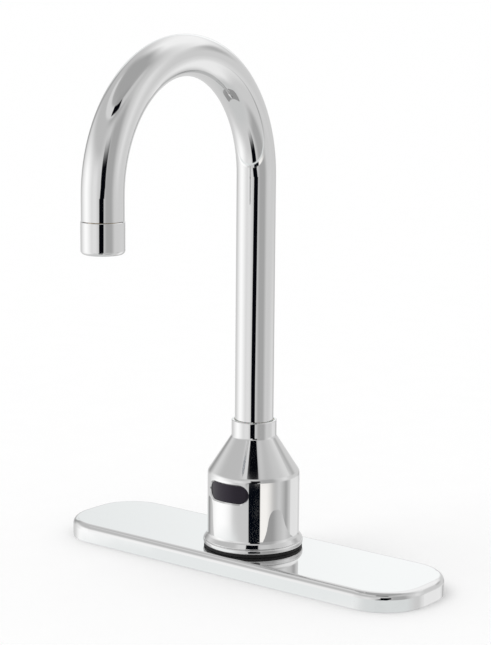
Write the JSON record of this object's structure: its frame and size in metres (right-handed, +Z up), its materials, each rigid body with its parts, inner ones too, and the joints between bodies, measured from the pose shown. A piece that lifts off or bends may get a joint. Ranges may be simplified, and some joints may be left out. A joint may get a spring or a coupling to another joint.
{
  "type": "sensor tap",
  "caption": "Deck-mounted sensor tap: swivelling round gooseneck on a bell-shaped body with a dark stadium sensor window, on a long round-cornered cover plate with a threaded shank below.",
  "frame": {"origin": "on the tap's vertical axis, at the face of the deck that the cover plate stands on", "axes": "+Z up along the body and the shank; X along the cover plate; -Y towards the user and the basin, where the sensor window faces"},
  "size_m": [0.269, 0.1968, 0.41],
  "materials": {
    "chrome": "mirror-bright plated chrome",
    "smoked_lens": "smoked infrared-pass plastic, glossy",
    "black_rubber": "black moulded rubber, matt",
    "black_plastic": "black moulded plastic, fine grain",
    "circuit_board": "green solder mask",
    "clear_epoxy": "pale blue water-clear epoxy",
    "dark_epoxy": "black daylight-filtering epoxy",
    "steel": "stainless steel, turned",
    "dark_steel": "black-oxide steel",
    "brass": "machined brass",
    "white_plastic": "natural acetal",
    "foam": "closed-cell foam, dark grey",
    "copper": "drawn copper",
    "grey_plastic": "pale grey moulded plastic",
    "steel_mesh": "fine woven stainless mesh"
  },
  "bodies": {
    "tap_body": {"body_shell": "chrome", "sensor_window": "smoked_lens", "window_gasket": "black_rubber", "sensor_case": "black_plastic", "sensor_board": "circuit_board", "emitter_led": "clear_epoxy", "receiver_diode": "dark_epoxy", "sensor_screws": "steel", "waterway": "brass", "waterway_screws": "steel", "swivel_bush": "white_plastic", "spout_stop_screw": "dark_steel", "body_set_screw": "dark_steel", "base_ring": "chrome", "body_gasket": "black_rubber", "deck_plate": "chrome", "plate_gasket": "foam", "mounting_shank": "brass", "tail_pipe": "copper", "cable_plug": "black_rubber", "inlet_fitting": "brass"},
    "spout": {"spout_tube": "chrome", "spout_stem": "brass", "stem_ring_upper": "black_rubber", "stem_ring_lower": "black_rubber", "outlet_nipple": "brass", "outlet_housing": "chrome", "flow_insert": "grey_plastic", "flow_screen": "steel_mesh", "outlet_washer": "black_rubber"},
    "clamp_washers": {"rubber_washer": "black_rubber", "steel_washer": "steel"},
    "clamp_nut": {"mounting_nut": "brass"}
  },
  "joints": [
    {"name": "spout_swivel", "type": "hinge", "parent": "tap_body", "child": "spout", "pos_m": [0, 0, 0.0812], "axis": [0, 0, 1], "range_deg": [-63.5, 56.5]},
    {"name": "clamp_slide", "type": "slide", "parent": "tap_body", "child": "clamp_washers", "axis": [0, 0, 1], "range_m": [-0.02, 0.019]},
    {"name": "nut_turn", "type": "hinge", "parent": "clamp_washers", "child": "clamp_nut", "pos_m": [0, 0, -0.0295], "axis": [0, 0, 1], "range_deg": [-4800, 4560]}
  ],
  "couplings": [
    {"joint": "clamp_slide", "follows": "nut_turn", "m_per_rad": 0.00023873}
  ]
}
